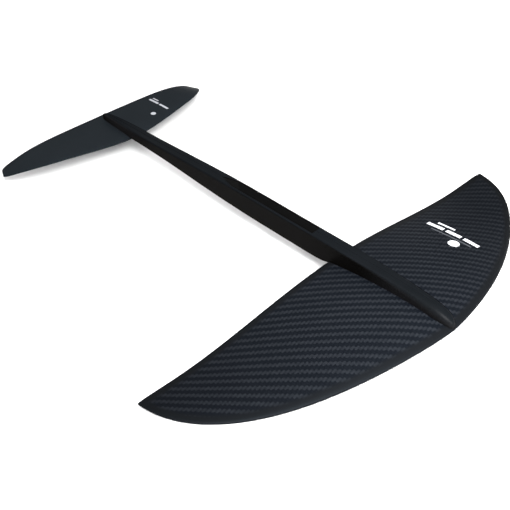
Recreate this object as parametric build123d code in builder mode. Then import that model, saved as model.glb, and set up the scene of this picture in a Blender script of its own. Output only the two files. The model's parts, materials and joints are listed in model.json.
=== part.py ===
from build123d import *
from math import cos, pi, sqrt
from types import SimpleNamespace
import os

# Lower unit of a hydrofoil: front wing, fuselage with the mast socket, and stabiliser.
# +X points forward, +Y to port, +Z up. The origin is on the floor of the mast socket,
# midway between the two mast bolts. All lengths are in millimetres.

os.makedirs("parts", exist_ok=True)

# ---------------------------------------------------------------- screws
# Both sets are countersunk and enter from below. Names ending in _r are radii, in _h heights.
m6_screw = SimpleNamespace(
    thread_r=3.0, core_r=2.45, pitch=1.0, length=35.0,
    head_r=6.0, hex_width=4.0, hex_depth=2.4,
    cup_r=8.2, cup_top_r=6.6, cup_h=4.2,
    sleeve_r=5.6, bore_r=3.25,
    sleeve_drop=0.5,  # top of the sleeve, below the foil's upper surface
    insert_r=5.0, insert_h=13.0,
    insert_rise=0.3,  # bottom of the insert, above the foil's upper surface
    thread_rise=0.6,  # start of the thread, above the foil's upper surface
)  # fmt: skip
m5_screw = SimpleNamespace(
    thread_r=2.5, core_r=2.05, pitch=0.8, length=20.0,
    head_r=5.0, hex_width=3.0, hex_depth=1.9,
    cup_r=6.8, cup_top_r=5.4, cup_h=3.3,
    sleeve_r=4.6, bore_r=2.75,
    sleeve_drop=0.3,
    insert_r=4.2, insert_h=10.0,
    insert_rise=0.2,
    thread_rise=0.5,
)  # fmt: skip
thread_clearance = 0.05
cup_slip = 0.05  # radial gap between the cup washer and its seat
cup_rim = 0.6  # height of the washer's straight rim
head_clearance = 0.06  # radial gap between the screw head and the washer
shank_clearance = 0.1  # radial gap between the shank and the washer
head_recess = 0.2  # the head lies this far inside the lower surface
head_rim = 0.3  # height of the head's straight rim
head_bevel = 0.15
insert_bevel = 0.4
insert_lead_in = 0.5
tip_room = 1.2  # hole length above the lower surface beyond the screw's length

# ---------------------------------------------------------------- foils
# Shares run from 0 to 1: of the chord from the leading edge back, of the half span outwards.
wing = SimpleNamespace(
    half_span=463.0,
    le_x=433.0,  # leading edge at the centreline
    z=-8.0,  # height of the root chord line
    root_chord=268.0,
    root_thickness=0.090,  # as a share of the chord
    camber=0.015,
    skin=1.3,
    te=0.9,  # trailing edge thickness
    core_from=0.05,  # share of the chord that holds core
    core_to=0.86,
    core_share=0.80,  # share of the half span that holds core
    stations=[0.0, 0.14, 0.28, 0.42, 0.56, 0.69, 0.80, 0.88, 0.935, 0.97, 0.99, 1.0],
    block_half=30.0,  # half width of the solid root block
    screw=m6_screw,
    screw_x=[363.0, 323.0, 283.0],
    # Fuselage seat: chord shares along the upper surface, and x where the seat starts and ends
    seat_shares=[
        0.9999, 0.95, 0.87, 0.75, 0.6, 0.45, 0.3, 0.18,
        0.1, 0.05, 0.025, 0.012, 0.006, 0.003, 0.001,
    ],
    seat_start_x=164.8,
    seat_end_x=433.4,
)  # fmt: skip
stab = SimpleNamespace(
    le_half=273.4,  # half span at the leading edge corner
    te_half=263.4,  # half span at the trailing edge corner
    le_x=-417.7,
    z=-3.4,
    root_chord=128.4,
    root_thickness=0.072,
    camber=-0.004,
    skin=0.9,
    te=0.8,
    core_from=0.07,
    core_to=0.84,
    core_share=0.82,
    stations=[0.0, 0.20, 0.40, 0.56, 0.70, 0.81, 0.89, 0.945, 0.98, 1.0],
    block_half=22.0,
    screw=m5_screw,
    screw_x=[-449.0, -481.0],
    seat_shares=[
        0.0005, 0.004, 0.015, 0.04, 0.1, 0.2, 0.32,
        0.45, 0.57, 0.68, 0.78, 0.86, 0.93, 0.9999,
    ],
    seat_start_x=-417.5,
    seat_end_x=-560,  # carried on behind the trailing edge
)  # fmt: skip
wing_min_tip = 1.6  # the wing is never thinner than this at its thickest
station_gap = 0.02  # span stations this close to the end station are left out
outline_count = 11  # points along one side of a moulded section
core_count = 7  # points along one side of a core section

spar_root_width, spar_tip_width = 10.0, 6.0
spar_end_y = 340.0
spar_chord_share = 0.36

# ---------------------------------------------------------------- fuselage
# x, half width, top height, bottom height, corner radius
fuselage_stations = [
    (432.2, 1.8, -0.6, -6.4, 1.6),
    (429.5, 5.8, 5.8, -6.4, 5.0),
    (423.0, 9.8, 12.2, -6.0, 8.0),
    (411.0, 13.2, 18.2, -5.4, 10.4),
    (393.0, 15.0, 22.5, -4.8, 11.0),
    (368.0, 15.5, 24.9, -4.4, 9.4),
    (333.0, 15.6, 26.9, -4.0, 7.2),
    (288.0, 15.6, 28.7, -4.2, 5.2),
    (235.0, 15.5, 29.4, -6.0, 3.6),
    (190.0, 15.5, 29.5, -8.0, 3.0),
    (165.0, 15.5, 29.5, -11.0, 3.0),
    (150.0, 15.5, 29.5, -14.8, 3.0),
    (130.0, 15.5, 29.5, -16.5, 3.0),
    (60.0, 15.5, 29.5, -16.6, 3.0),
    (-50.0, 15.5, 29.5, -15.5, 3.0),
    (-130.0, 15.2, 28.5, -12.9, 3.0),
    (-210.0, 14.5, 25.9, -8.9, 3.0),
    (-290.0, 13.8, 22.7, -4.4, 3.0),
    (-350.0, 12.8, 20.7, -3.0, 3.0),
    (-400.0, 12.0, 19.7, -2.4, 3.0),
    (-445.0, 10.3, 18.9, -3.3, 3.0),
    (-485.0, 7.9, 17.8, -3.4, 2.9),
    (-512.0, 5.1, 15.6, -3.4, 2.5),
    (-526.0, 2.5, 12.0, -3.4, 1.8),
    (-530.0, 1.2, 8.6, -3.4, 1.0),
]
fuselage_wall = 2.2
min_inner_radius = 0.8
seat_gap = 0.15  # bond-free gap between the fuselage and the wing it sits on
# The shell is hollow over the stations between these two; both ends are solid.
hollow_front_x, hollow_rear_x = 412.0, -500.0

# The groove runs over the stations between these two
groove_front_x, groove_rear_x = 400, -515
groove_half_width = 0.9
groove_over, groove_depth = 0.4, 0.5  # cutter above and below the top line

# Mast socket
socket_front_x = 118.0
socket_taper_x = -98.0  # the sides start to close towards the rear here
socket_rear_x = -131.0
socket_half_width = 10.8
socket_rear_half_width = 2.2
socket_front_fillet, socket_rear_fillet = 2.5, 2.0
socket_floor_z = 0.0
socket_wall = 10.0  # length of the liner ahead of and behind the socket

# Mast bolt sleeves: x, height of the lower end
mast_bolts = [(45.0, -16.3), (-45.0, -15.4)]
mast_bolt_hole_r = 4.2
mast_bolt_head_r = 8.3
mast_bolt_head_rim = 0.4
mast_sleeve_r = 9.6
mast_neck_r = 6.4
mast_neck_rise = 5.6  # the neck starts this far above the lower end
mast_shoulder_rise = 2.4  # top of the sleeve's wide end, above the lower end
mast_sleeve_drop = 0.02  # the sleeve ends this far below the socket floor
mast_hole_over = 5  # hole tool beyond the socket floor and the sleeve's lower end

clip_size = 500  # plan size of the boxes that divide the foil cores


# ---------------------------------------------------------------- solid helpers
def lofted(sections):
    with BuildPart() as body:
        loft(sections)
    return body


def cut(body, tools):
    """A body less the tools, taken away in order."""
    with BuildPart() as part:
        add(body.part)
        for tool in tools:
            add(tool.part, mode=Mode.SUBTRACT)
    return part


def gathered(items):
    """Separate bodies held as one piece."""
    with BuildPart() as part:
        for item in items:
            add(item.part)
    return part


def within_box(body, middle, size, tools=(), half_height=100):
    """What lies inside a rectangle in plan, less the tools."""
    with BuildPart() as part:
        add(body.part)
        with BuildSketch(Plane.XY.offset(-half_height)):
            with Locations(middle):
                Rectangle(*size)
        extrude(amount=2 * half_height, mode=Mode.INTERSECT)
        for tool in tools:
            add(tool.part, mode=Mode.SUBTRACT)
    return part


def revolved(points, x):
    """A solid of revolution about the vertical axis at x, from (radius, height) points."""
    with BuildPart() as turned:
        with BuildSketch(Plane(origin=(x, 0, 0), x_dir=(1, 0, 0), z_dir=(0, -1, 0))):
            with BuildLine():
                Polyline(*points, close=True)
            make_face()
        revolve(axis=Axis((x, 0, 0), (0, 0, 1)))
    return turned


def cylinder_tool(x, radius, low, high):
    return revolved([(0, low), (radius, low), (radius, high), (0, high)], x)


# ---------------------------------------------------------------- foil surfaces
def half_thickness(along):
    """Half thickness of a symmetric foil of unit thickness and chord, closed at the rear."""
    return 5 * (
        0.2969 * sqrt(along)
        - 0.1260 * along
        - 0.3516 * along**2
        + 0.2843 * along**3
        - 0.1036 * along**4
    )


def surface_height(foil, along, chord, thickness, side, inset=0.0):
    """Height of one side (1 upper, -1 lower) above the chord line, at a chord share."""
    half = chord * thickness * half_thickness(along) + 0.5 * foil.te * along - inset
    return 4 * foil.camber * chord * along * (1 - along) + side * half


def root_height(foil, x, side):
    """Height of one side of the foil at the centreline."""
    along = (foil.le_x - x) / foil.root_chord
    return foil.z + surface_height(foil, along, foil.root_chord, foil.root_thickness, side)


def wing_leading(span):
    """Distance of the leading edge behind the root leading edge at a span share."""
    span = 0.9975 * span  # stop just inside the end of the curve
    return 274.1 * (1 - (1 - span**1.5) ** 0.4249) + 36.48 * span**2 - 23.55 * span**4


def wing_trailing(span):
    """Distance of the trailing edge behind the root leading edge."""
    return wing.root_chord + 2.3 * span**2 - 4.0 * span**24


def wing_rise(span):
    """Height over the root: the wing curves down, and levels towards its tips."""
    return -114.1 * span**2 + 111.1 * span**4 - 27.5 * span**6


def wing_thickness(span):
    chord = wing_trailing(span) - wing_leading(span)
    return max(wing.root_thickness - 0.012 * span**2, wing_min_tip / chord)


def stab_leading(span):
    return (
        153.6 * span**2
        - 161.0 * span**3
        + 55.9 * span**4
        + 72.9 * span**8
        - 27.3 * span**14
        + 7.0 * span**60
    )


def stab_trailing(span):
    return (
        stab.root_chord - 21.7 * span**2 + 11.4 * span**4 + 10.9 * span**12 - 6.0 * span**60
    )


def stab_rise(y):
    span = abs(y) / stab.le_half
    return 10.95 * span**2 - 3.68 * span**4 - 34.08 * span**6


def wing_section(signed_span):
    """Plane, chord and thickness share at a signed span share."""
    span = abs(signed_span)
    lead = wing_leading(span)
    origin = (wing.le_x - lead, signed_span * wing.half_span, wing.z + wing_rise(span))
    plane = Plane(origin=origin, x_dir=(-1, 0, 0), z_dir=(0, 1, 0))
    return plane, wing_trailing(span) - lead, wing_thickness(span)


def stab_section(signed_span):
    """The section planes swing inwards towards the tip, so that the tip is cut at an angle."""
    span = abs(signed_span)
    y_le, y_te = signed_span * stab.le_half, signed_span * stab.te_half
    x_le, x_te = stab.le_x - stab_leading(span), stab.le_x - stab_trailing(span)
    z = stab.z + stab_rise(0.5 * (y_le + y_te))
    chord = sqrt((x_le - x_te) ** 2 + (y_le - y_te) ** 2)
    rearward = ((x_te - x_le) / chord, (y_te - y_le) / chord, 0)
    normal = (rearward[1], -rearward[0], 0)
    plane = Plane(origin=(x_le, y_le, z), x_dir=rearward, z_dir=normal)
    return plane, chord, stab.root_thickness - 0.004 * span**2


# ---------------------------------------------------------------- foil bodies
def both_sides(stations, end=1.0):
    """Signed span shares from the starboard end to the port end."""
    kept = [span for span in stations if span < end - station_gap] + [end]
    return [-span for span in reversed(kept) if span > 0] + kept


def outline_shares():
    """Chord shares from nose to tail, closer together near the nose."""
    shares = []
    for i in range(outline_count - 1):
        step = i / (outline_count - 1)
        eased = 1 - cos(0.5 * pi * step)
        shares.append(step * eased * 0.35 + eased * 0.65)
    return shares + [1.0]


def core_shares(foil):
    """Evenly spaced chord shares over the core."""
    reach = foil.core_to - foil.core_from
    return [foil.core_from + reach * (i / (core_count - 1)) for i in range(core_count)]


def foil_points(foil, shares, chord, thickness, side, inset=0.0):
    return [
        (along * chord, surface_height(foil, along, chord, thickness, side, inset))
        for along in shares
    ]


def half_sketch(foil, side, plane, chord, thickness):
    """One moulded half: outer surface, half of the trailing edge, and the bond line."""
    points = foil_points(foil, outline_shares(), chord, thickness, side)
    with BuildSketch(plane) as sketch:
        with BuildLine():
            ThreePointArc((0, 0), (0.5 * chord, foil.camber * chord), (chord, 0))
            Line((chord, 0), points[-1])
            Spline(*reversed(points), tangents=[(-1, 0.12 * side), (0, -side)])
        make_face()
    return sketch.sketch


def core_sketch(foil, plane, chord, thickness):
    """The space inside the skins."""
    upper = foil_points(foil, core_shares(foil), chord, thickness, 1, foil.skin)
    lower = foil_points(foil, core_shares(foil), chord, thickness, -1, foil.skin)
    with BuildSketch(plane) as sketch:
        with BuildLine():
            top = Spline(*upper)
            bottom = Spline(*lower)
            Line(top @ 1, bottom @ 1)
            Line(bottom @ 0, top @ 0)
        make_face()
    return sketch.sketch


def half_body(foil, section_at, side):
    spans = both_sides(foil.stations)
    return lofted([half_sketch(foil, side, *section_at(span)) for span in spans])


def core_body(foil, section_at):
    spans = both_sides(foil.stations, foil.core_share)
    return lofted([core_sketch(foil, *section_at(span)) for span in spans])


def root_block(foil, core, tools):
    """The block between the two foam halves, which carries the sleeves."""
    middle = (foil.le_x - foil.root_chord / 2, 0)
    return within_box(core, middle, (clip_size, 2 * foil.block_half), tools)


def foam_half(foil, core, side, tools=()):
    """Foam on one side (1 port, -1 starboard) of the root block."""
    middle = (foil.le_x - foil.root_chord / 2, side * (foil.block_half + clip_size / 2))
    return within_box(core, middle, (clip_size, clip_size), tools)


# ---------------------------------------------------------------- screws and their holes
def at_screws(make, foil):
    """One body for each screw of a foil."""
    return [make(foil, x) for x in foil.screw_x]


def cup_seat_tool(foil, x):
    """Space for the cup washer, open downwards."""
    screw, low = foil.screw, root_height(foil, x, -1)
    return revolved(
        [
            (0, low - 6),
            (screw.cup_r + cup_slip, low - 6),
            (screw.cup_r + cup_slip, low + cup_rim),
            (screw.cup_top_r + cup_slip, low + screw.cup_h),
            (0, low + screw.cup_h),
        ],
        x,
    )


def sleeve_hole(foil, x):
    low = root_height(foil, x, -1)
    return cylinder_tool(x, foil.screw.sleeve_r, low, low + 60)


def insert_hole(foil, x):
    screw, high = foil.screw, root_height(foil, x, 1)
    top = high + screw.insert_rise + screw.insert_h
    return cylinder_tool(x, screw.insert_r, high - 2, top)


def tip_hole(foil, x):
    """Room for the whole length of the screw."""
    screw, low = foil.screw, root_height(foil, x, -1)
    return cylinder_tool(x, screw.bore_r, low, low + screw.length + tip_room)


def cup_washer(foil, x):
    screw, low = foil.screw, root_height(foil, x, -1)
    mouth = screw.head_r + head_clearance
    bore = screw.thread_r + shank_clearance
    return revolved(
        [
            (mouth, low),
            (screw.cup_r, low),
            (screw.cup_r, low + cup_rim),
            (screw.cup_top_r, low + screw.cup_h),
            (bore, low + screw.cup_h),
            (bore, low + head_recess + head_rim + screw.head_r - screw.thread_r),
            (mouth, low + 0.54),
        ],
        x,
    )


def sleeve(foil, x):
    """Tube from the top of the cup washer to just under the upper surface."""
    screw = foil.screw
    bottom = root_height(foil, x, -1) + screw.cup_h
    top = root_height(foil, x, 1) - screw.sleeve_drop
    return revolved(
        [
            (screw.bore_r, bottom),
            (screw.sleeve_r, bottom),
            (screw.sleeve_r, top),
            (screw.bore_r, top),
        ],
        x,
    )


def threaded_insert(foil, x):
    """The bore is at the thread's outer radius plus a running gap."""
    screw = foil.screw
    low = root_height(foil, x, 1) + screw.insert_rise
    high = low + screw.insert_h
    bore = screw.thread_r + thread_clearance
    return revolved(
        [
            (bore + insert_lead_in, low),
            (screw.insert_r - insert_bevel, low),
            (screw.insert_r, low + insert_bevel),
            (screw.insert_r, high - insert_bevel),
            (screw.insert_r - insert_bevel, high),
            (bore, high),
            (bore, low + insert_lead_in),
        ],
        x,
    )


def countersunk_screw(foil, x):
    """Screw with its head down, and its thread cut as rings of the right pitch."""
    screw = foil.screw
    head = root_height(foil, x, -1) + head_recess
    tip = head + screw.length
    outer, core, pitch = screw.thread_r, screw.core_r, screw.pitch
    z = root_height(foil, x, 1) + screw.thread_rise
    points = [
        (0, head),
        (screw.head_r - head_bevel, head),
        (screw.head_r, head + head_bevel),
        (screw.head_r, head + head_rim),
        (outer, head + head_rim + screw.head_r - outer),
        (outer, z),
    ]
    while z + pitch < tip - 0.6:
        points += [(outer, z + 0.12 * pitch), (core, z + 0.5 * pitch), (outer, z + 0.88 * pitch)]
        z += pitch
    points += [(outer, z + 0.2 * pitch), (core, tip), (0, tip)]
    with BuildPart() as made:
        add(revolved(points, x).part)
        with BuildSketch(Plane(origin=(x, 0, head), x_dir=(1, 0, 0), z_dir=(0, 0, 1))):
            RegularPolygon(radius=screw.hex_width / 2, side_count=6, major_radius=False)
        extrude(amount=screw.hex_depth, mode=Mode.SUBTRACT)
    return made


pieces = {}
port_and_starboard = (("port", 1), ("starboard", -1))


# ---------------------------------------------------------------- both foils
def add_foil_pieces(name, foil, section_at, core, slots):
    """Skins, root block, foam, sleeves, inserts, screws and washers of one foil."""
    cup_seats = at_screws(cup_seat_tool, foil)
    sleeve_holes = at_screws(sleeve_hole, foil)
    upper = half_body(foil, section_at, 1)
    lower = half_body(foil, section_at, -1)
    pieces[f"{name}_upper_skin"] = cut(upper, [core, *sleeve_holes])
    pieces[f"{name}_lower_skin"] = cut(lower, [core, *cup_seats])
    pieces[f"{name}_root_block"] = root_block(foil, core, cup_seats + sleeve_holes)
    for side_name, side in port_and_starboard:
        pieces[f"{name}_core_{side_name}"] = foam_half(foil, core, side, slots[side])
    pieces[f"{name}_sleeves"] = gathered(at_screws(sleeve, foil))
    pieces[f"{name}_inserts"] = gathered(at_screws(threaded_insert, foil))
    for i, x in enumerate(foil.screw_x, 1):
        pieces[f"{name}_screw_{i}"] = countersunk_screw(foil, x)
        pieces[f"{name}_washer_{i}"] = cup_washer(foil, x)


# ---------------------------------------------------------------- front wing
def spar_prism(side):
    """Upright prism over the plan outline of the spar on one side."""
    y_root, y_tip = wing.block_half, spar_end_y
    span = y_tip / wing.half_span
    lead = wing_leading(span)
    x_root = wing.le_x - spar_chord_share * wing.root_chord
    x_tip = wing.le_x - lead - spar_chord_share * (wing_trailing(span) - lead)
    root_half, tip_half = 0.5 * spar_root_width, 0.5 * spar_tip_width
    with BuildPart() as prism:
        with BuildSketch(Plane.XY.offset(-100)):
            with BuildLine():
                Polyline(
                    (x_root + root_half, side * y_root),
                    (x_tip + tip_half, side * y_tip),
                    (x_tip - tip_half, side * y_tip),
                    (x_root - root_half, side * y_root),
                    close=True,
                )
            make_face()
        extrude(amount=200)
    return prism


def wing_spar(core, prism):
    with BuildPart() as made:
        add(core.part)
        add(prism.part, mode=Mode.INTERSECT)
    return made


wing_core = core_body(wing, wing_section)
spar_prisms = {side: spar_prism(side) for _, side in port_and_starboard}
for side_name, side in port_and_starboard:
    pieces[f"front_wing_spar_{side_name}"] = wing_spar(wing_core, spar_prisms[side])
spar_slots = {side: [prism] for side, prism in spar_prisms.items()}
add_foil_pieces("front_wing", wing, wing_section, wing_core, spar_slots)

# ---------------------------------------------------------------- stabiliser
stab_core = core_body(stab, stab_section)
add_foil_pieces("stabiliser", stab, stab_section, stab_core, {1: [], -1: []})


# ---------------------------------------------------------------- fuselage tools
def box_section(x, half, top, bottom, radius):
    plane = Plane(origin=(x, 0, 0.5 * (top + bottom)), x_dir=(0, 1, 0), z_dir=(1, 0, 0))
    with BuildSketch(plane) as sketch:
        RectangleRounded(2 * half, top - bottom, radius)
    return sketch.sketch


def inner_section(x, half, top, bottom, radius):
    """Fuselage section inside the wall."""
    wall = fuselage_wall
    inner_radius = max(radius - wall, min_inner_radius)
    return box_section(x, half - wall, top - wall, bottom + wall, inner_radius)


def foil_seat(foil, raised):
    """Everything under the foil's upper surface, raised by the given height."""
    seat_x = [foil.le_x - foil.root_chord * along for along in foil.seat_shares]
    top = [(x, root_height(foil, x, 1) + raised) for x in seat_x]
    with BuildPart() as seat:
        with BuildSketch(Plane.XZ):
            with BuildLine():
                curve = Spline(*top)
                Polyline(
                    curve @ 1,
                    (foil.seat_end_x, top[-1][1]),
                    (foil.seat_end_x, -60),
                    (foil.seat_start_x, -60),
                    (foil.seat_start_x, top[0][1]),
                    curve @ 0,
                )
            make_face()
        extrude(amount=30, both=True)
    return seat


def fuselage_hollow():
    """Space inside the shell, with a wall of laminate kept over the seat of each wing."""
    body = lofted(
        [
            inner_section(*station)
            for station in fuselage_stations
            if hollow_rear_x < station[0] < hollow_front_x
        ]
    )
    return cut(body, [foil_seat(wing, fuselage_wall), foil_seat(stab, fuselage_wall)])


def mast_socket():
    with BuildPart() as socket:
        with BuildSketch(Plane.XY.offset(socket_floor_z)) as outline:
            with BuildLine():
                Polyline(
                    (socket_front_x, -socket_half_width),
                    (socket_front_x, socket_half_width),
                    (socket_taper_x, socket_half_width),
                    (socket_rear_x, socket_rear_half_width),
                    (socket_rear_x, -socket_rear_half_width),
                    (socket_taper_x, -socket_half_width),
                    close=True,
                )
            make_face()
            fillet(outline.vertices().group_by(Axis.X)[-1], socket_front_fillet)
            fillet(outline.vertices().group_by(Axis.X)[0], socket_rear_fillet)
        extrude(amount=60)
    return socket


def mast_sleeve(x, low):
    """Steel sleeve for a mast bolt: flush with the socket floor, countersunk from below."""
    top = socket_floor_z - mast_sleeve_drop
    cone_low = low + mast_bolt_head_rim
    return revolved(
        [
            (mast_bolt_hole_r, top),
            (mast_neck_r, top),
            (mast_neck_r, low + mast_neck_rise),
            (mast_sleeve_r, low + mast_shoulder_rise),
            (mast_sleeve_r, low),
            (mast_bolt_head_r, low),
            (mast_bolt_head_r, cone_low),
            (mast_bolt_hole_r, cone_low + mast_bolt_head_r - mast_bolt_hole_r),
        ],
        x,
    )


def mast_sleeve_hole(x, low):
    top, bottom = socket_floor_z + mast_hole_over, low - mast_hole_over
    return revolved(
        [
            (0, top),
            (mast_neck_r, top),
            (mast_neck_r, low + mast_neck_rise),
            (mast_sleeve_r, low + mast_shoulder_rise),
            (mast_sleeve_r, bottom),
            (0, bottom),
        ],
        x,
    )


def seam_groove():
    """Shallow groove along the top where the two moulded halves meet."""
    with BuildPart() as groove:
        for x, _, top, _, _ in fuselage_stations:
            if not groove_rear_x < x < groove_front_x:
                continue
            with BuildSketch(Plane(origin=(x, 0, top), x_dir=(0, 1, 0), z_dir=(1, 0, 0))):
                with BuildLine():
                    Polyline(
                        (-groove_half_width, groove_over),
                        (groove_half_width, groove_over),
                        (0, -groove_depth),
                        close=True,
                    )
                make_face()
        loft()
    return groove


# ---------------------------------------------------------------- fuselage
hollow = fuselage_hollow()
socket = mast_socket()
mast_holes = [mast_sleeve_hole(x, low) for x, low in mast_bolts]
wing_insert_holes = at_screws(insert_hole, wing)
stab_insert_holes = at_screws(insert_hole, stab)

# Shell, split along the centreline
fuselage_shell = cut(
    lofted([box_section(*station) for station in fuselage_stations]),
    [
        hollow,
        socket,
        *mast_holes,
        *wing_insert_holes,
        *stab_insert_holes,
        seam_groove(),
        foil_seat(wing, seat_gap),
        foil_seat(stab, seat_gap),
    ],
)
for side_name, side in port_and_starboard:
    shell_half = within_box(fuselage_shell, (0, side * 50), (1200, 100))
    pieces[f"fuselage_{side_name}_shell"] = shell_half

# Foam ahead of and behind the socket liner
pieces["fuselage_core_front"] = within_box(
    hollow,
    middle=(socket_front_x + socket_wall + 200, 0),
    size=(400, 80),
    tools=wing_insert_holes + at_screws(tip_hole, wing),
    half_height=60,
)
pieces["fuselage_core_rear"] = within_box(
    hollow,
    middle=(socket_rear_x - socket_wall - 250, 0),
    size=(500, 80),
    tools=stab_insert_holes + at_screws(tip_hole, stab),
    half_height=60,
)

# Mast socket
pieces["mast_socket_liner"] = within_box(
    hollow,
    middle=(0.5 * (socket_front_x + socket_rear_x), 0),
    size=(socket_front_x - socket_rear_x + 2 * socket_wall, 60),
    tools=[socket, *mast_holes],
    half_height=60,
)
pieces["mast_bolt_sleeves"] = gathered([mast_sleeve(x, low) for x, low in mast_bolts])

for name, piece in pieces.items():
    piece.part.label = name
    export_step(piece.part, f"parts/{name}.step")
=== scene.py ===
"""Hydrofoil: front wing, fuselage and stabiliser, with moulded carbon skins.

The fuselage lies along X with the front wing towards +X; the span runs along Y, symmetric about
y = 0, and Z is up. Foil shapes are worked out in millimetres, all else is in metres.
"""
import json
import math
from typing import Callable, NamedTuple

import bmesh
import bpy
import numpy as np
from mathutils import Matrix, Vector

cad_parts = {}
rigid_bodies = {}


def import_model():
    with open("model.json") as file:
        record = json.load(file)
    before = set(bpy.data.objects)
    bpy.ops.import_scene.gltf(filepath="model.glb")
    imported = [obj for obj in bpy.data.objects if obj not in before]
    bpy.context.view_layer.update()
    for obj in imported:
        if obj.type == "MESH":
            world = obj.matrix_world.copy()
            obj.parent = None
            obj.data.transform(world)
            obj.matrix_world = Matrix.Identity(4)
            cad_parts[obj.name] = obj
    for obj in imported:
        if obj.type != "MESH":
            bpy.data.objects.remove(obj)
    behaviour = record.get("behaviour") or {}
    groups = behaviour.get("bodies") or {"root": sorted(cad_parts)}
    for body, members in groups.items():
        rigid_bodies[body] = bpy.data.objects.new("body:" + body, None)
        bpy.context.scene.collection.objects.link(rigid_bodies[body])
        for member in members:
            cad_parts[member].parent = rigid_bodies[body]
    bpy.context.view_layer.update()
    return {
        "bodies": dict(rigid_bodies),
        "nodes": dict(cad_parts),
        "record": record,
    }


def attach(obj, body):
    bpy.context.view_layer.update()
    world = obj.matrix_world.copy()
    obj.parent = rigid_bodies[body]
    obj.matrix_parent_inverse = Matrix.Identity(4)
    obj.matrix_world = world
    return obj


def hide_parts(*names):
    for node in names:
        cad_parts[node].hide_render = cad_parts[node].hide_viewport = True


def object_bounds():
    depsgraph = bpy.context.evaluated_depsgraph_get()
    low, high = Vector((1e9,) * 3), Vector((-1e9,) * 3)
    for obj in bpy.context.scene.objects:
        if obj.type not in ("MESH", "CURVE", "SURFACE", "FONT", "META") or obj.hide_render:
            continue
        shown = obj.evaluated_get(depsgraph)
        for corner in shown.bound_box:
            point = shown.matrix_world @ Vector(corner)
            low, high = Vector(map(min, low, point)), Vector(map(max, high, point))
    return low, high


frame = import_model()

main_body = "foil" if "foil" in frame["bodies"] else "root"
MM = 0.001
SHARP_ANGLE = math.radians(38)

# ---------------------------------------------------------------- foil shapes, mm
WING_HALF_SPAN = 463.0
WING_NOSE_X = 433.0
WING_Z = -8.0
WING_CHORD = 268.0
WING_THICKNESS = 0.090  # share of the chord, at the centre
WING_MIN_THICKNESS = 1.6

STAB_NOSE_X = -417.7
STAB_Z = -3.4
STAB_LEAD_HALF_SPAN = 273.4
STAB_TRAIL_HALF_SPAN = 263.4
STAB_CHORD = 128.4
STAB_THICKNESS = 0.072

# How far a screw seat's cutter reaches, mm
SEAT_BELOW = 6.0  # below the skin
SEAT_STRAIGHT = 0.6  # straight wall above the skin, before the cone
SEAT_CAP = 0.01  # short straight end on top of the cone
SEAT_SEGMENTS = 72

POCKET_WALL = 1e-5  # half width of the pocket's wall, as a share of chord or half span


class Foil(NamedTuple):
    section: Callable  # reach -> nose point, chord direction in plan, chord, thickness ratio
    camber: float  # share of the chord
    trailing: float  # thickness of the trailing edge, mm
    skin: float  # skin thickness over the core, mm
    core: tuple  # shares of the chord where the core starts and ends
    core_reach: float  # share of the half span the core fills
    span_steps: int
    chord_steps: int
    seat_xs: tuple  # screw seats in the underside, mm
    seat_mouth: float  # radius, mm
    seat_neck: float
    seat_height: float
    slot: str


# The curves below are fitted to the outline. Reach is 0 at the centre and 1 at the tip; leads
# and trails are distances behind the centre's nose, mm.
def wing_lead(reach):
    reach = 0.9975 * reach
    return 274.1 * (1 - (1 - reach**1.5) ** 0.4249) + 36.48 * reach**2 - 23.55 * reach**4


def wing_trail(reach):
    return WING_CHORD + 2.3 * reach**2 - 4.0 * reach**24


def wing_section(reach):
    r = abs(reach)
    lead = wing_lead(r)
    chord = wing_trail(r) - lead
    z = WING_Z - 114.1 * r**2 + 111.1 * r**4 - 27.5 * r**6
    thickness = max(WING_THICKNESS - 0.012 * r**2, WING_MIN_THICKNESS / chord)
    return (WING_NOSE_X - lead, reach * WING_HALF_SPAN, z), (-1.0, 0.0), chord, thickness


def stab_lead(r):
    return 153.6 * r**2 - 161.0 * r**3 + 55.9 * r**4 + 72.9 * r**8 - 27.3 * r**14 + 7.0 * r**60


def stab_trail(r):
    return STAB_CHORD - 21.7 * r**2 + 11.4 * r**4 + 10.9 * r**12 - 6.0 * r**60


def stab_section(reach):
    r = abs(reach)
    lead_y, trail_y = reach * STAB_LEAD_HALF_SPAN, reach * STAB_TRAIL_HALF_SPAN
    lead_x, trail_x = STAB_NOSE_X - stab_lead(r), STAB_NOSE_X - stab_trail(r)
    middle = abs(0.5 * (lead_y + trail_y)) / STAB_LEAD_HALF_SPAN
    z = STAB_Z + 10.95 * middle**2 - 3.68 * middle**4 - 34.08 * middle**6
    chord = math.hypot(lead_x - trail_x, lead_y - trail_y)
    direction = (trail_x - lead_x) / chord, (trail_y - lead_y) / chord
    return (lead_x, lead_y, z), direction, chord, STAB_THICKNESS - 0.004 * r**2


WING = Foil(
    section=wing_section, camber=0.015, trailing=0.9, skin=1.3,
    core=(0.05, 0.86), core_reach=0.80, span_steps=90, chord_steps=84,
    seat_xs=(363.0, 323.0, 283.0), seat_mouth=8.25, seat_neck=6.65, seat_height=4.2,
    slot="wing_carbon",
)
STABILISER = Foil(
    section=stab_section, camber=-0.004, trailing=0.8, skin=0.9,
    core=(0.07, 0.84), core_reach=0.82, span_steps=70, chord_steps=56,
    seat_xs=(-449.0, -481.0), seat_mouth=6.85, seat_neck=5.45, seat_height=3.3,
    slot="stabiliser_carbon",
)


def half_thickness(u):
    """NACA four-digit half thickness at share u of the chord, with a closed trailing edge."""
    return 5 * (0.2969 * math.sqrt(u) - 0.1260 * u - 0.3516 * u**2 + 0.2843 * u**3 - 0.1036 * u**4)


def camber_and_half(foil, u, chord, thickness):
    camber = 4 * foil.camber * chord * u * (1 - u)
    half = chord * thickness * half_thickness(u) + 0.5 * foil.trailing * u
    return camber, half


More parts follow.
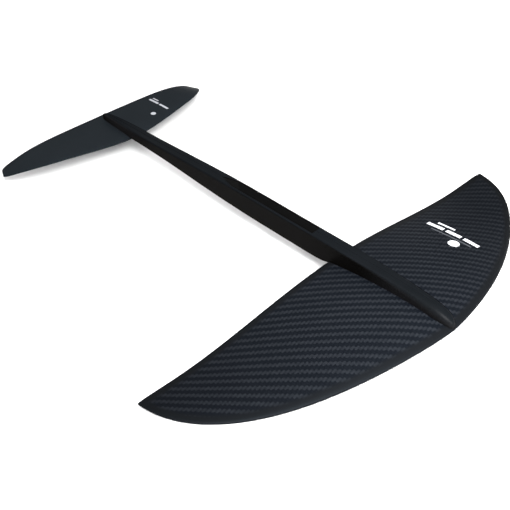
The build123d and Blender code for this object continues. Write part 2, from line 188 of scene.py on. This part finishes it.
# ---------------------------------------------------------------- meshes
def shade_smooth(mesh):
    mesh.polygons.foreach_set("use_smooth", [True] * len(mesh.polygons))
    mesh.set_sharp_from_angle(angle=SHARP_ANGLE)


def link_object(name, data):
    obj = bpy.data.objects.new(name, data)
    bpy.context.scene.collection.objects.link(obj)
    return obj


def new_object(name, verts, faces, smooth=True):
    mesh = bpy.data.meshes.new(name)
    mesh.from_pydata(verts, [], faces)
    mesh.validate()
    mesh.update()
    bm = bmesh.new()
    bm.from_mesh(mesh)
    bmesh.ops.remove_doubles(bm, verts=bm.verts, dist=1e-7)
    bmesh.ops.recalc_face_normals(bm, faces=bm.faces)
    bm.to_mesh(mesh)
    bm.free()
    if smooth:
        shade_smooth(mesh)
    return link_object(name, mesh)


def wall_steps(*walls):
    """Two stations close together at each pocket wall."""
    return [wall + shift for wall in walls for shift in (-POCKET_WALL, POCKET_WALL)]


def foil_skin(name, foil, side):
    """A closed moulded half: outer surface, bond faces at the edges, and the core's pocket."""
    count = foil.chord_steps
    shares = [0.5 - 0.5 * math.cos(math.pi * i / count) for i in range(count + 1)]
    shares = sorted(shares + wall_steps(*foil.core))
    count = foil.span_steps
    reaches = [1 - (1 - i / count) ** 2.0 for i in range(count + 1)]
    reaches = sorted(reaches + wall_steps(foil.core_reach))
    reaches = [-reach for reach in reversed(reaches) if reach > 0] + reaches

    outer, inner = [], []
    for reach in reaches:
        (x, y, z), (dir_x, dir_y), chord, thickness = foil.section(reach)
        for u in shares:
            camber, half = camber_and_half(foil, u, chord, thickness)
            in_pocket = foil.core[0] < u < foil.core[1] and abs(reach) < foil.core_reach
            depth = max(half - foil.skin, 0.0) if in_pocket else 0.0
            px, py = (x + dir_x * u * chord) * MM, (y + dir_y * u * chord) * MM
            outer.append((px, py, (z + camber + side * half) * MM))
            inner.append((px, py, (z + camber + side * depth) * MM))

    row, base = len(shares), len(outer)
    last = len(reaches) - 1
    faces = []
    for i in range(last):
        for j in range(row - 1):
            a, b = i * row + j, (i + 1) * row + j
            faces.append((a, a + 1, b + 1, b))
            faces.append((base + a, base + b, base + b + 1, base + a + 1))
        a, b = (i + 1) * row - 1, (i + 2) * row - 1
        faces.append((a, base + a, base + b, b))
    for i in (0, last):
        for a in range(i * row, (i + 1) * row - 1):
            faces.append((a, a + 1, base + a + 1, base + a))
    return new_object(name, outer + inner, faces)


def turned_cutter(x, profile):
    """Closed solid turned about the vertical line at x, y = 0, from (radius, z) points in mm."""
    verts, faces = [], []
    row = len(profile)
    for i in range(SEAT_SEGMENTS):
        angle = 2 * math.pi * i / SEAT_SEGMENTS
        for radius, z in profile:
            px, py = x + radius * math.cos(angle), radius * math.sin(angle)
            verts.append((px * MM, py * MM, z * MM))
    for i in range(SEAT_SEGMENTS):
        a, b = i * row, (i + 1) % SEAT_SEGMENTS * row
        for k in range(row - 1):
            faces.append((a + k, b + k, b + k + 1, a + k + 1))
    faces.append([i * row for i in range(SEAT_SEGMENTS)][::-1])
    faces.append([i * row + row - 1 for i in range(SEAT_SEGMENTS)])
    return new_object("cutter", verts, faces, smooth=False)


def seat_cutter(foil, x):
    """Straight mouth and cone of one screw seat, placed from the foil's underside at x."""
    (nose_x, _, nose_z), _, chord, thickness = foil.section(0.0)
    camber, half = camber_and_half(foil, (nose_x - x) / chord, chord, thickness)
    low = nose_z + camber - half
    top = low + foil.seat_height
    return turned_cutter(x, [
        (foil.seat_mouth, low - SEAT_BELOW),
        (foil.seat_mouth, low + SEAT_STRAIGHT),
        (foil.seat_neck, top),
        (foil.seat_neck, top + SEAT_CAP),
    ])


def cut(obj, cutters):
    """Takes the cutters away from obj for good, and removes them."""
    for cutter in cutters:
        modifier = obj.modifiers.new("cut", "BOOLEAN")
        modifier.operation = "DIFFERENCE"
        modifier.solver = "EXACT"
        modifier.object = cutter
    graph = bpy.context.evaluated_depsgraph_get()
    mesh = bpy.data.meshes.new_from_object(obj.evaluated_get(graph), depsgraph=graph)
    obj.modifiers.clear()
    old = obj.data
    obj.data = mesh
    bpy.data.meshes.remove(old)
    for cutter in cutters:
        bpy.data.objects.remove(cutter)
    shade_smooth(mesh)


def store_edge_distance(obj, section):
    """Stores how far each vertex is from the outline in plan, in metres, for the material."""
    lead, trail = [], []
    for reach in np.linspace(0, 1, 400) ** 0.7:
        (x, y, _), (dir_x, dir_y), chord, _ = section(float(reach))
        lead.append((x, y))
        trail.append((x + dir_x * chord, y + dir_y * chord))
    outline = np.array(lead + trail[::-1]) * MM
    start = outline[:-1]
    edge = outline[1:] - start
    length_squared = np.maximum((edge**2).sum(1), 1e-16)

    places = np.zeros(len(obj.data.vertices) * 3)
    obj.data.vertices.foreach_get("co", places)
    places = places.reshape(-1, 3)
    plan = np.stack([places[:, 0], np.abs(places[:, 1])], 1)
    distance = np.empty(len(plan))
    batch = 4000  # vertices at a time, to limit memory
    for first in range(0, len(plan), batch):
        points = plan[first : first + batch, None, :]
        share = np.clip(((points - start) * edge).sum(2) / length_squared, 0, 1)
        gap = start + share[..., None] * edge - points
        distance[first : first + batch] = np.sqrt((gap**2).sum(2)).min(1)
    attribute = obj.data.attributes.new("edge", "FLOAT", "POINT")
    attribute.data.foreach_set("value", distance.astype(np.float32))


# ---------------------------------------------------------------- shader node helpers
class Value:
    """A node output; each arithmetic step on it adds a math node."""

    def __init__(self, net, socket):
        self.net = net
        self.socket = socket

    def __add__(self, other):
        return self.net.math("ADD", self, other)

    def __radd__(self, other):
        return self.net.math("ADD", other, self)

    def __sub__(self, other):
        return self.net.math("SUBTRACT", self, other)

    def __rsub__(self, other):
        return self.net.math("SUBTRACT", other, self)

    def __mul__(self, other):
        return self.net.math("MULTIPLY", self, other)

    def __truediv__(self, other):
        return self.net.math("DIVIDE", self, other)

    def __pow__(self, other):
        return self.net.math("POWER", self, other)

    def __abs__(self):
        return self.net.math("ABSOLUTE", self)


class Net:
    """Adds nodes to one node tree. Inputs may be Values, numbers or tuples."""

    def __init__(self, tree):
        self.tree = tree

    def fill(self, node, inputs):
        for key, value in inputs.items():
            socket = node.inputs[key]
            if isinstance(value, Value):
                self.tree.links.new(value.socket, socket)
            elif socket.type == "RGBA":
                socket.default_value = (*value, 1)
            else:
                socket.default_value = value

    def node(self, kind, inputs=None, output=0, **settings):
        node = self.tree.nodes.new("ShaderNode" + kind)
        for name, value in settings.items():
            setattr(node, name, value)
        self.fill(node, inputs or {})
        return Value(self, node.outputs[output])

    def surface(self, inputs):
        self.fill(self.tree.nodes["Principled BSDF"], inputs)

    def math(self, operation, a, b=0.0):
        return self.node("Math", {0: a, 1: b, 2: 0.0}, operation=operation)

    def mix(self, factor, off, on):
        """Mixes colours."""
        return self.node("Mix", {"Factor": factor, 6: off, 7: on}, output=2, data_type="RGBA")

    def blend(self, factor, off, on):
        """Mixes numbers."""
        return self.node("Mix", {"Factor": factor, 2: off, 3: on}, data_type="FLOAT")

    def noise(self, vector, scale=1.0, detail=3.0, roughness=0.55, stretch=None):
        if stretch:
            vector = self.node("Mapping", {"Vector": vector, "Scale": stretch})
        inputs = {"Vector": vector, "Scale": scale, "Detail": detail, "Roughness": roughness}
        return self.node("TexNoise", inputs, output="Fac")

    def remap(self, value, between=(0.0, 1.0), to=(0.0, 1.0)):
        inputs = dict(enumerate((value, *between, *to)))
        return self.node("MapRange", inputs, clamp=True)

    def place(self):
        return self.node("TexCoord", output="Object")

    def axes(self, vector):
        separate = self.node("SeparateXYZ", {0: vector}).socket.node
        return [Value(self, socket) for socket in separate.outputs]

    def bump(self, height, strength, distance, normal=None):
        inputs = {"Height": height, "Strength": strength, "Distance": distance}
        if normal is not None:
            inputs["Normal"] = normal
        return self.node("Bump", inputs)


def new_material(name):
    material = bpy.data.materials.new(name)
    material.use_nodes = True
    return material, Net(material.node_tree)


def swing(noise, amount):
    """Noise centred on zero and scaled."""
    return (noise - 0.5) * amount


def bulge(share, power):
    """A crown that is 0 at shares 0 and 1, and 1 half way between."""
    return 1.0 - abs(share * 2.0 - 1.0) ** power


# ---------------------------------------------------------------- printed marks, m
PRINT_EDGE = 0.0005  # width of the soft edge
# Bars are (x from, x to, y from, y to), discs are (x, y, radius)
WING_BARS = (
    (0.208, 0.246, 0.2215, 0.2315),
    (0.252, 0.286, 0.2215, 0.2315),
    (0.292, 0.326, 0.2215, 0.2315),
    (0.222, 0.262, 0.2385, 0.2445),
)
WING_DISCS = ((0.290, 0.196, 0.0115),)
WING_DIM_BARS = ((0.226, 0.318, 0.2105, 0.2145),)
STAB_BARS = (
    (-0.522, -0.490, 0.1235, 0.1295),
    (-0.486, -0.456, 0.1235, 0.1295),
    (-0.520, -0.500, 0.1335, 0.1370),
)
STAB_DISCS = ((-0.463, 0.0895, 0.0062),)


def mark_mask(net, x, y, bars, discs=()):
    """1 inside the bars and discs, 0 outside."""
    depths = []
    for x0, x1, y0, y1 in bars:
        depth_x = net.math("MINIMUM", x - x0, x1 - x)
        depth_y = net.math("MINIMUM", y - y0, y1 - y)
        depths.append(net.math("MINIMUM", depth_x, depth_y))
    for centre_x, centre_y, radius in discs:
        dx, dy = x - centre_x, y - centre_y
        depths.append(radius - net.math("SQRT", dx * dx + dy * dy))
    masks = [net.remap(depth, between=(0.0, PRINT_EDGE)) for depth in depths]
    total = masks[0]
    for mask in masks[1:]:
        total = net.math("MAXIMUM", total, mask)
    return total


# ---------------------------------------------------------------- materials
TOW = 0.00527  # width of one carbon tow, m
LAY = math.radians(-2.9)  # the cloth lies slightly off the chord line
BORDER = 0.013  # width of the plain border, m


def twill_material(name, bars=(), discs=(), dim_bars=()):
    """2x2 twill carbon: warp tows run along X, weft tows along Y, with a plain border; the weave's
    light and dark are painted into the colour.
    """
    material, net = new_material(name)
    place = net.place()
    x, y, _ = net.axes(place)

    # The cloth is laid by hand, so its lines wander a little
    wander = swing(net.noise(place, scale=2.2, detail=1.0), amount=0.006)
    cos, sin = math.cos(LAY), math.sin(LAY)
    tows_x = (x * cos + y * sin + wander) / TOW
    tows_y = (y * cos - x * sin - wander) / TOW
    column, row = net.math("FLOOR", tows_x), net.math("FLOOR", tows_y)
    cell_x, cell_y = tows_x - column, tows_y - row
    # The pattern repeats every four tows; weft is 1 where the weft tow is on top
    step = net.math("FLOORED_MODULO", column - row, 4.0)
    weft = net.math("LESS_THAN", step, 2.0)

    # Crown across the top tow, and arch along its float, which spans two tows
    crown = bulge(net.blend(weft, off=cell_y, on=cell_x), power=2.4)
    along_weft = (1.0 - step + cell_y) * 0.5
    along_warp = (step - 2.0 + cell_x) * 0.5
    arch = bulge(net.blend(weft, off=along_warp, on=along_weft), power=2.6)

    # Fibres: fine lines along the top tow
    warp_lines = net.noise(place, stretch=(60, 2600, 60), detail=2.0, roughness=0.6)
    weft_lines = net.noise(place, stretch=(2600, 60, 60), detail=2.0, roughness=0.6)
    fibre = net.blend(weft, off=warp_lines, on=weft_lines)
    patch = net.noise(place, scale=9.0, detail=2.0)
    painted_glint = net.noise(place, scale=260.0, detail=1.5)
    edge = net.node("Attribute", output="Fac", attribute_name="edge")
    inside = net.remap(edge + swing(patch, amount=0.004), between=(BORDER * 0.75, BORDER * 1.35))

    # Painted highlight: the tops of the tows, their floats and small glints are lightened in the
    # colour, standing in for light catching the cloth; the patches and fibre lines are the cloth's
    # own uneven tone
    painted_highlight_and_tone = (
        net.remap(crown, to=(0.45, 1.0))
        * net.remap(fibre, between=(0.3, 0.7), to=(0.65, 1.25))
        * net.remap(patch, between=(0.3, 0.7), to=(0.82, 1.10))
        * net.remap(arch, to=(0.50, 1.10))
        * net.remap(painted_glint, between=(0.45, 0.68), to=(0.72, 1.55))
    )
    # Painted reflection: weft on top is painted lighter than warp, standing in for the fibres
    # reflecting light differently in the two directions
    warp_colour = net.mix(painted_highlight_and_tone, off=(0.0018, 0.0026, 0.0042), on=(0.0046, 0.0058, 0.0082))
    weft_colour = net.mix(painted_highlight_and_tone, off=(0.0042, 0.0053, 0.0074), on=(0.0142, 0.0162, 0.0200))
    cloth = net.mix(weft, off=warp_colour, on=weft_colour)
    colour = net.mix(inside, off=(0.0052, 0.0058, 0.0068), on=cloth)
    # Painted shade: the cloth is darkened towards the thin tips, standing in for less light
    # falling there
    left_after_painted_tip_shade = net.remap(abs(y), between=(0.10, 0.45), to=(1.0, 0.62))
    colour = net.mix(1.0 - left_after_painted_tip_shade, off=colour, on=(0.0, 0.0, 0.0))
    if bars:
        worn = net.remap(fibre, between=(0.2, 0.5), to=(0.9, 1.0))
        ink = mark_mask(net, x, y, bars, discs) * worn
        colour = net.mix(ink, off=colour, on=(0.66, 0.67, 0.70))
        dim_ink = mark_mask(net, x, y, dim_bars) * 0.8
        colour = net.mix(dim_ink, off=colour, on=(0.085, 0.09, 0.10))

    roughness = net.blend(weft, off=0.52, on=0.40) + swing(fibre, amount=0.16)
    weave = net.bump(crown * inside * arch, strength=0.22, distance=0.00012)
    fine = net.noise(place, scale=900.0, detail=2.0)
    net.surface({
        "Base Color": colour,
        "Roughness": net.blend(inside, off=0.46, on=roughness),
        "Specular IOR Level": 0.05,
        "Specular Tint": (0.72, 0.86, 1.0),
        "Coat Weight": 0.0,
        "Coat Roughness": 0.24,
        "Normal": net.bump(fine, strength=0.10, distance=0.00003, normal=weave),
    })
    return material


def vary_along_body(net, place, fine, colour, painted_flank_shade, specular):
    """Colour and specular level that differ on top, flanks, tail, nose and at grazing angles; the
    colour's differences are painted shade and light.
    """
    x = net.axes(place)[0]
    normal = net.node("NewGeometry", output="Normal")
    upward = net.remap(net.axes(normal)[2], between=(0.15, 0.8))
    facing = net.node("LayerWeight", {"Blend": 0.5}, output="Facing")
    # 1 where seen face on, 0 at grazing angles
    face_on = net.remap(facing, between=(0.50, 0.66), to=(1.0, 0.0))
    tail = net.remap(x * -1.0, between=(0.38, 0.46))
    nose = net.remap(x, between=(0.24, 0.32))

    # The tail is duller and the nose glossier than the middle
    gloss = net.blend(tail, off=specular, on=0.55 * specular)
    gloss = net.blend(nose, off=gloss, on=1.3 * specular)
    specular = net.blend(upward, off=0.010, on=gloss) * face_on

    # Painted shade: the flanks are painted darker than the top; painted light: the flanks over the
    # wings at the tail and nose are painted lighter, to make up for the shade the wings cast on
    # them
    side = net.mix(fine, off=painted_flank_shade, on=tuple(1.3 * c for c in painted_flank_shade))
    tail_flank_painted_light = net.mix(fine, off=(0.0110, 0.0108, 0.0114), on=(0.0160, 0.0156, 0.0164))
    nose_flank_painted_light = net.mix(fine, off=(0.0052, 0.0053, 0.0058), on=(0.0080, 0.0081, 0.0088))
    side = net.mix(tail, off=side, on=tail_flank_painted_light)
    side = net.mix(nose, off=side, on=nose_flank_painted_light)
    colour = net.mix(upward, off=side, on=colour)
    # Painted shade: the colour darkens towards grazing angles, drawing a dark rim along the
    # outline
    colour = net.mix((1.0 - face_on) * 0.55, off=colour, on=(0.0012, 0.0012, 0.0014))
    return colour, specular


def satin_material(
    name, dark, light, roughness, specular=0.35, speck=420.0, streak=(12, 260, 260),
    tint=(1.0, 1.0, 1.0), painted_flank_shade=None, bars=(), discs=(),
):
    """Moulded, lightly sanded composite: fine speckle, slow colour drift and faint streaks."""
    material, net = new_material(name)
    place = net.place()
    drift = net.noise(place, scale=7.0)
    fine = net.noise(place, scale=speck, roughness=0.6)
    micro = net.noise(place, scale=speck * 3.1, detail=2.0, roughness=0.6)
    lines = net.noise(place, stretch=streak, roughness=0.6)
    shade = drift * 0.55 + (fine * 0.25 + lines * 0.20)
    colour = net.mix(net.remap(shade, between=(0.35, 0.65)), off=dark, on=light)
    # Painted shade and light on the body's flanks, nose, tail and outline
    if painted_flank_shade:
        colour, specular = vary_along_body(net, place, fine, colour, painted_flank_shade, specular)
    if bars:
        x, y, _ = net.axes(place)
        colour = net.mix(mark_mask(net, x, y, bars, discs), off=colour, on=(0.36, 0.37, 0.40))
    grain = net.bump(fine, strength=0.25, distance=0.00003)
    net.surface({
        "Base Color": colour,
        "Roughness": roughness + swing(fine, amount=0.18) + swing(lines, amount=0.10),
        "Specular IOR Level": specular,
        "Specular Tint": tint,
        "Coat Weight": 0.0,
        "Coat Roughness": 0.3,
        "Normal": net.bump(micro, strength=0.15, distance=0.000015, normal=grain),
    })
    return material


def steel_material(name, base, roughness):
    """Turned steel with fine rings stacked along Z."""
    material, net = new_material(name)
    place = net.place()
    rings = net.noise(place, stretch=(150, 150, 5200), detail=2.0, roughness=0.6)
    cloud = net.remap(net.noise(place, scale=300.0), between=(0.35, 0.65))
    net.surface({
        "Base Color": net.mix(cloud, off=tuple(0.82 * c for c in base), on=base),
        "Metallic": 1.0,
        "Roughness": roughness + swing(rings, amount=0.25),
        "Normal": net.bump(rings, strength=0.25, distance=0.00002),
    })
    return material


def foam_material(name):
    """Pale core foam with small cells."""
    material, net = new_material(name)
    place = net.place()
    cells = net.node("TexVoronoi", {"Scale": 1100.0, "Vector": place}, output="Distance")
    shade = net.remap(cells * 0.6 + net.noise(place, scale=14.0) * 0.5, between=(0.2, 0.8))
    net.surface({
        "Base Color": net.mix(shade, off=(0.56, 0.47, 0.30), on=(0.74, 0.66, 0.47)),
        "Roughness": net.remap(cells, between=(0.0, 0.7), to=(0.82, 0.97)),
        "Normal": net.bump(cells, strength=0.6, distance=0.0002),
    })
    return material


SLATE = dict(
    dark=(0.0080, 0.0102, 0.0124), light=(0.0104, 0.0130, 0.0157),
    roughness=0.47, specular=0.04, tint=(0.80, 0.92, 1.0),
)
twill = twill_material("wing_twill_carbon")
twill_marked = twill_material(
    "wing_twill_carbon_marked", bars=WING_BARS, discs=WING_DISCS, dim_bars=WING_DIM_BARS,
)
slate = satin_material("stabiliser_slate", **SLATE)
slate_marked = satin_material(
    "stabiliser_slate_marked", bars=STAB_BARS, discs=STAB_DISCS, **SLATE,
)
MATERIALS = {
    "wing_carbon": twill,
    "stabiliser_carbon": slate,
    "fuselage_carbon": satin_material(
        "fuselage_satin_black", dark=(0.0026, 0.0036, 0.0046), light=(0.0044, 0.0054, 0.0068),
        roughness=0.40, specular=0.046, painted_flank_shade=(0.0022, 0.0020, 0.0019),
    ),
    # Painted light: the liner is given a lighter colour than its carbon, to make up for the shade
    # deep in the socket
    "liner": satin_material(
        "socket_liner_carbon", dark=(0.0070, 0.0069, 0.0070), light=(0.0110, 0.0109, 0.0112),
        roughness=0.55, specular=0.04, speck=300.0,
    ),
    "laminate": satin_material(
        "root_laminate", dark=(0.020, 0.021, 0.022), light=(0.050, 0.052, 0.054),
        roughness=0.5, speck=250.0, streak=(20, 20, 900),
    ),
    "spar_carbon": satin_material(
        "spar_unidirectional", dark=(0.010, 0.010, 0.012), light=(0.035, 0.037, 0.042),
        roughness=0.42, speck=500.0, streak=(1400, 10, 1400),
    ),
    "foam": foam_material("core_foam"),
    "screw_steel": steel_material("screw_stainless", base=(0.56, 0.56, 0.57), roughness=0.28),
    "washer_steel": steel_material("washer_stainless", base=(0.50, 0.50, 0.51), roughness=0.36),
    "insert_steel": steel_material("insert_stainless", base=(0.46, 0.45, 0.43), roughness=0.42),
}


def set_material(obj, material):
    obj.data.materials.clear()
    obj.data.materials.append(material)


slot_of = {part["node"]: part["material_slot"] for part in frame["record"]["subparts"]}
for node_name, obj in frame["nodes"].items():
    set_material(obj, MATERIALS[slot_of[node_name]])

# ---------------------------------------------------------------- visible skins
# Object, the piece it replaces, foil, side (1 upper, -1 lower), material
SKINS = (
    ("front_wing_top", "front_wing_upper_skin", WING, 1, twill_marked),
    ("front_wing_bottom", "front_wing_lower_skin", WING, -1, twill),
    ("stabiliser_top", "stabiliser_upper_skin", STABILISER, 1, slate_marked),
    ("stabiliser_bottom", "stabiliser_lower_skin", STABILISER, -1, slate),
)
for name, node_name, foil, side, material in SKINS:
    skin = foil_skin(name, foil, side)
    if side < 0:
        cut(skin, [seat_cutter(foil, x) for x in foil.seat_xs])
    store_edge_distance(skin, foil.section)
    set_material(skin, material)
    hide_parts(node_name)
    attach(skin, main_body)

# ---------------------------------------------------------------- floor, light, camera
FLOOR_GAP = 0.0004
FLOOR_HALF = 9.0


def add_floor():
    """Pale floor, clear from below so that the underside can be seen."""
    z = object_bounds()[0].z - FLOOR_GAP
    corners = [(-1, -1), (1, -1), (1, 1), (-1, 1)]
    mesh = bpy.data.meshes.new("floor")
    verts = [(x * FLOOR_HALF, y * FLOOR_HALF, z) for x, y in corners]
    mesh.from_pydata(verts, [], [(0, 1, 2, 3)])
    floor = link_object("floor", mesh)
    material, net = new_material("pale_floor")
    net.surface({
        "Base Color": (0.93, 0.93, 0.93),
        "Roughness": 0.9,
        "Specular IOR Level": 0.0,
    })
    nodes = material.node_tree.nodes
    either = net.node("MixShader", {
        0: net.node("NewGeometry", output="Backfacing"),
        1: Value(net, nodes["Principled BSDF"].outputs[0]),
        2: net.node("BsdfTransparent"),
    })
    net.fill(nodes["Material Output"], {"Surface": either})
    mesh.materials.append(material)


def add_world():
    """White sky, dim at the horizon and bright overhead."""
    world = bpy.data.worlds.new("studio")
    bpy.context.scene.world = world
    world.use_nodes = True
    net = Net(world.node_tree)
    z = net.axes(net.node("TexCoord", output="Generated"))[2]
    height = net.math("MAXIMUM", z, 0.0) ** 1.8
    strength = net.remap(height, to=(0.16, 1.15))
    background = world.node_tree.nodes["Background"]
    net.fill(background, {"Color": (1.0, 1.0, 1.0), "Strength": strength})


def softbox(name, place, target, size, power, spread=180):
    """Rectangular light aimed at the target; size is in metres, power in watts."""
    light = bpy.data.lights.new(name, "AREA")
    light.shape = "RECTANGLE"
    light.size, light.size_y = size
    light.energy = power
    light.spread = math.radians(spread)
    obj = link_object(name, light)
    obj.location = place
    obj.rotation_mode = "QUATERNION"
    obj.rotation_quaternion = (Vector(target) - Vector(place)).to_track_quat("-Z", "Y")


def add_camera():
    """Camera above the +X, -Y corner, looking down at the foil."""
    data = bpy.data.cameras.new("camera")
    camera = link_object("camera", data)
    bpy.context.scene.camera = camera
    # Azimuth is turned from -Y towards +X
    azimuth, elevation, roll = (math.radians(angle) for angle in (45.80, 38.76, -0.26))
    back = Vector((
        math.sin(azimuth) * math.cos(elevation),
        -math.cos(azimuth) * math.cos(elevation),
        math.sin(elevation),
    ))
    level = Vector((math.cos(azimuth), math.sin(azimuth), 0.0))
    upright = back.cross(level)
    right = level * math.cos(roll) + upright * math.sin(roll)
    up = upright * math.cos(roll) - level * math.sin(roll)
    camera.rotation_mode = "QUATERNION"
    camera.rotation_quaternion = Matrix((right, up, back)).transposed().to_quaternion()
    camera.location = (0.9854, -0.9997, 1.0320)
    data.sensor_width = 36.0
    data.lens = 63.75
    data.clip_start, data.clip_end = 0.01, 50.0


add_floor()
add_world()
softbox("overhead", place=(0.1, 0.0, 3.0), target=(0.1, 0.0, 0.0), size=(3.0, 3.0), power=20)
softbox(
    "near_top", place=(1.6, -1.0, 2.0), target=(0.40, 0.0, 0.0), size=(1.2, 1.2),
    power=33, spread=80,
)
softbox(
    "front", place=(2.6, 0.1, 0.95), target=(0.42, 0.0, 0.0), size=(1.0, 0.6),
    power=9, spread=60,
)
softbox("low_fill", place=(-0.2, -2.8, 1.0), target=(-0.1, 0.0, 0.0), size=(2.0, 1.2), power=2.0)
add_camera()

bpy.context.scene.view_settings.view_transform = "Standard"
bpy.context.scene.view_settings.look = "None"
